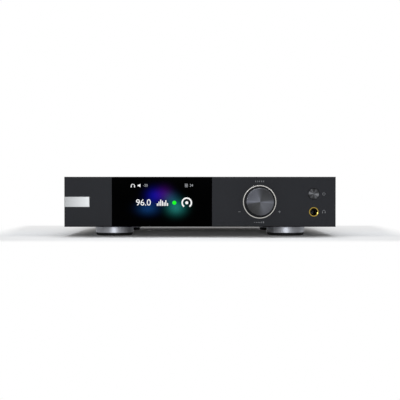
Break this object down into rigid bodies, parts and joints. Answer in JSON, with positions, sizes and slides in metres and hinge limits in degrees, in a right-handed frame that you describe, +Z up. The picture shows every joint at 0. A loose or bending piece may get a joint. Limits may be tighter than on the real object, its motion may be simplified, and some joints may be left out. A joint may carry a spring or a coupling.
{
  "type": "desktop dac",
  "caption": "Low desktop audio converter and headphone amplifier: milled front with display window, push-and-turn knob, power button and headphone socket, on round feet.",
  "frame": {"origin": "on the floor, under the middle of the whole outline", "axes": "+X to the right seen from the front, +Y from the front panel to the rear, +Z up"},
  "size_m": [0.271, 0.212, 0.0595],
  "materials": {
    "panel": "bead-blasted dark grey anodised",
    "sheet": "fine-textured dark grey powder coat",
    "window": "gloss black tinted glass over a lit display",
    "display": "black display frame",
    "silver": "turned, satin silver",
    "badge": "brushed, plain",
    "trim_ring": "polished",
    "knob": "dark anodised with a spun face",
    "steel": "plain",
    "black_screw": "blackened",
    "gold": "gold plated",
    "brass": "plain",
    "black_plastic": "moulded",
    "pale_plastic": "moulded",
    "red_plastic": "insulation",
    "grey_plastic": "flat cable",
    "board": "solder mask",
    "capacitor": "sleeved",
    "black_metal": "black",
    "heatsink": "black anodised",
    "tin": "tinned sheet",
    "winding": "taped copper winding on a steel core",
    "rubber": "black"
  },
  "bodies": {
    "chassis": {"front_panel": "panel", "display_window": "window", "display_module": "display", "display_bracket": "steel", "badge_plate": "badge", "front_board": "board", "front_screws": "steel", "knob_ring": "trim_ring", "encoder_body": "steel", "encoder_bush": "steel", "encoder_nut": "steel", "power_switch": "black_plastic", "headphone_ring": "gold", "headphone_jack": "black_plastic", "base_pan": "sheet", "top_cover": "sheet", "cover_screws": "black_screw", "rear_panel": "sheet", "rear_screws": "black_screw", "foot_front_left": "silver", "foot_front_right": "silver", "foot_rear_left": "silver", "foot_rear_right": "silver", "foot_pads": "rubber", "foot_screws": "steel", "main_board": "board", "board_standoffs": "brass", "board_screws": "steel", "dac_shield": "tin", "audio_capacitors": "capacitor", "output_relays": "pale_plastic", "power_board": "board", "power_capacitors": "capacitor", "regulator_heatsink": "heatsink", "toroid_winding": "winding", "toroid_pads": "rubber", "toroid_clamp": "steel", "inlet_socket": "black_plastic", "inlet_pins": "tin", "rocker_frame": "black_plastic", "xlr_left": "black_metal", "xlr_right": "black_metal", "xlr_pins": "gold", "rca_left": "gold", "rca_right": "gold", "coax_input": "gold", "rca_insulators": "pale_plastic", "usb_socket": "tin", "optical_socket": "black_plastic", "internal_wires": "red_plastic", "ribbon_cable": "grey_plastic"},
    "rotor": {"encoder_rotor": "pale_plastic"},
    "knob": {"encoder_shaft": "silver", "knob_body": "knob"},
    "plunger": {"encoder_plunger": "pale_plastic"},
    "power_button": {"power_button": "knob", "power_switch_plunger": "pale_plastic"},
    "rocker": {"power_rocker": "black_plastic"},
    "shutter": {"optical_shutter": "black_plastic"}
  },
  "joints": [
    {"name": "knob_turn", "type": "hinge", "parent": "chassis", "child": "rotor", "pos_m": [0.0595, -0.094, 0.0345], "axis": [0, 1, 0], "continuous": true},
    {"name": "knob_push", "type": "slide", "parent": "rotor", "child": "knob", "axis": [0, 1, 0], "range_m": [0, 0.0005], "stiffness_N_per_m": 1500, "springref_m": -0.0008},
    {"name": "encoder_switch", "type": "slide", "parent": "chassis", "child": "plunger", "axis": [0, 1, 0], "range_m": [0, 0.0005]},
    {"name": "power_press", "type": "slide", "parent": "chassis", "child": "power_button", "axis": [0, 1, 0], "range_m": [0, 0.0005], "stiffness_N_per_m": 1200, "springref_m": -0.0008},
    {"name": "rocker_tilt", "type": "hinge", "parent": "chassis", "child": "rocker", "pos_m": [-0.05788, 0.0945, 0.0345], "axis": [-1, 0, 0], "range_deg": [0, 18]},
    {"name": "shutter_swing", "type": "hinge", "parent": "chassis", "child": "shutter", "pos_m": [-0.01493, 0.0953, 0.0275], "axis": [-1, 0, 0], "range_deg": [0, 80], "stiffness_Nm_per_rad": 0.0004, "springref_deg": -17.19}
  ],
  "couplings": [
    {"joint": "encoder_switch", "follows": "knob_push", "ratio": 1}
  ]
}
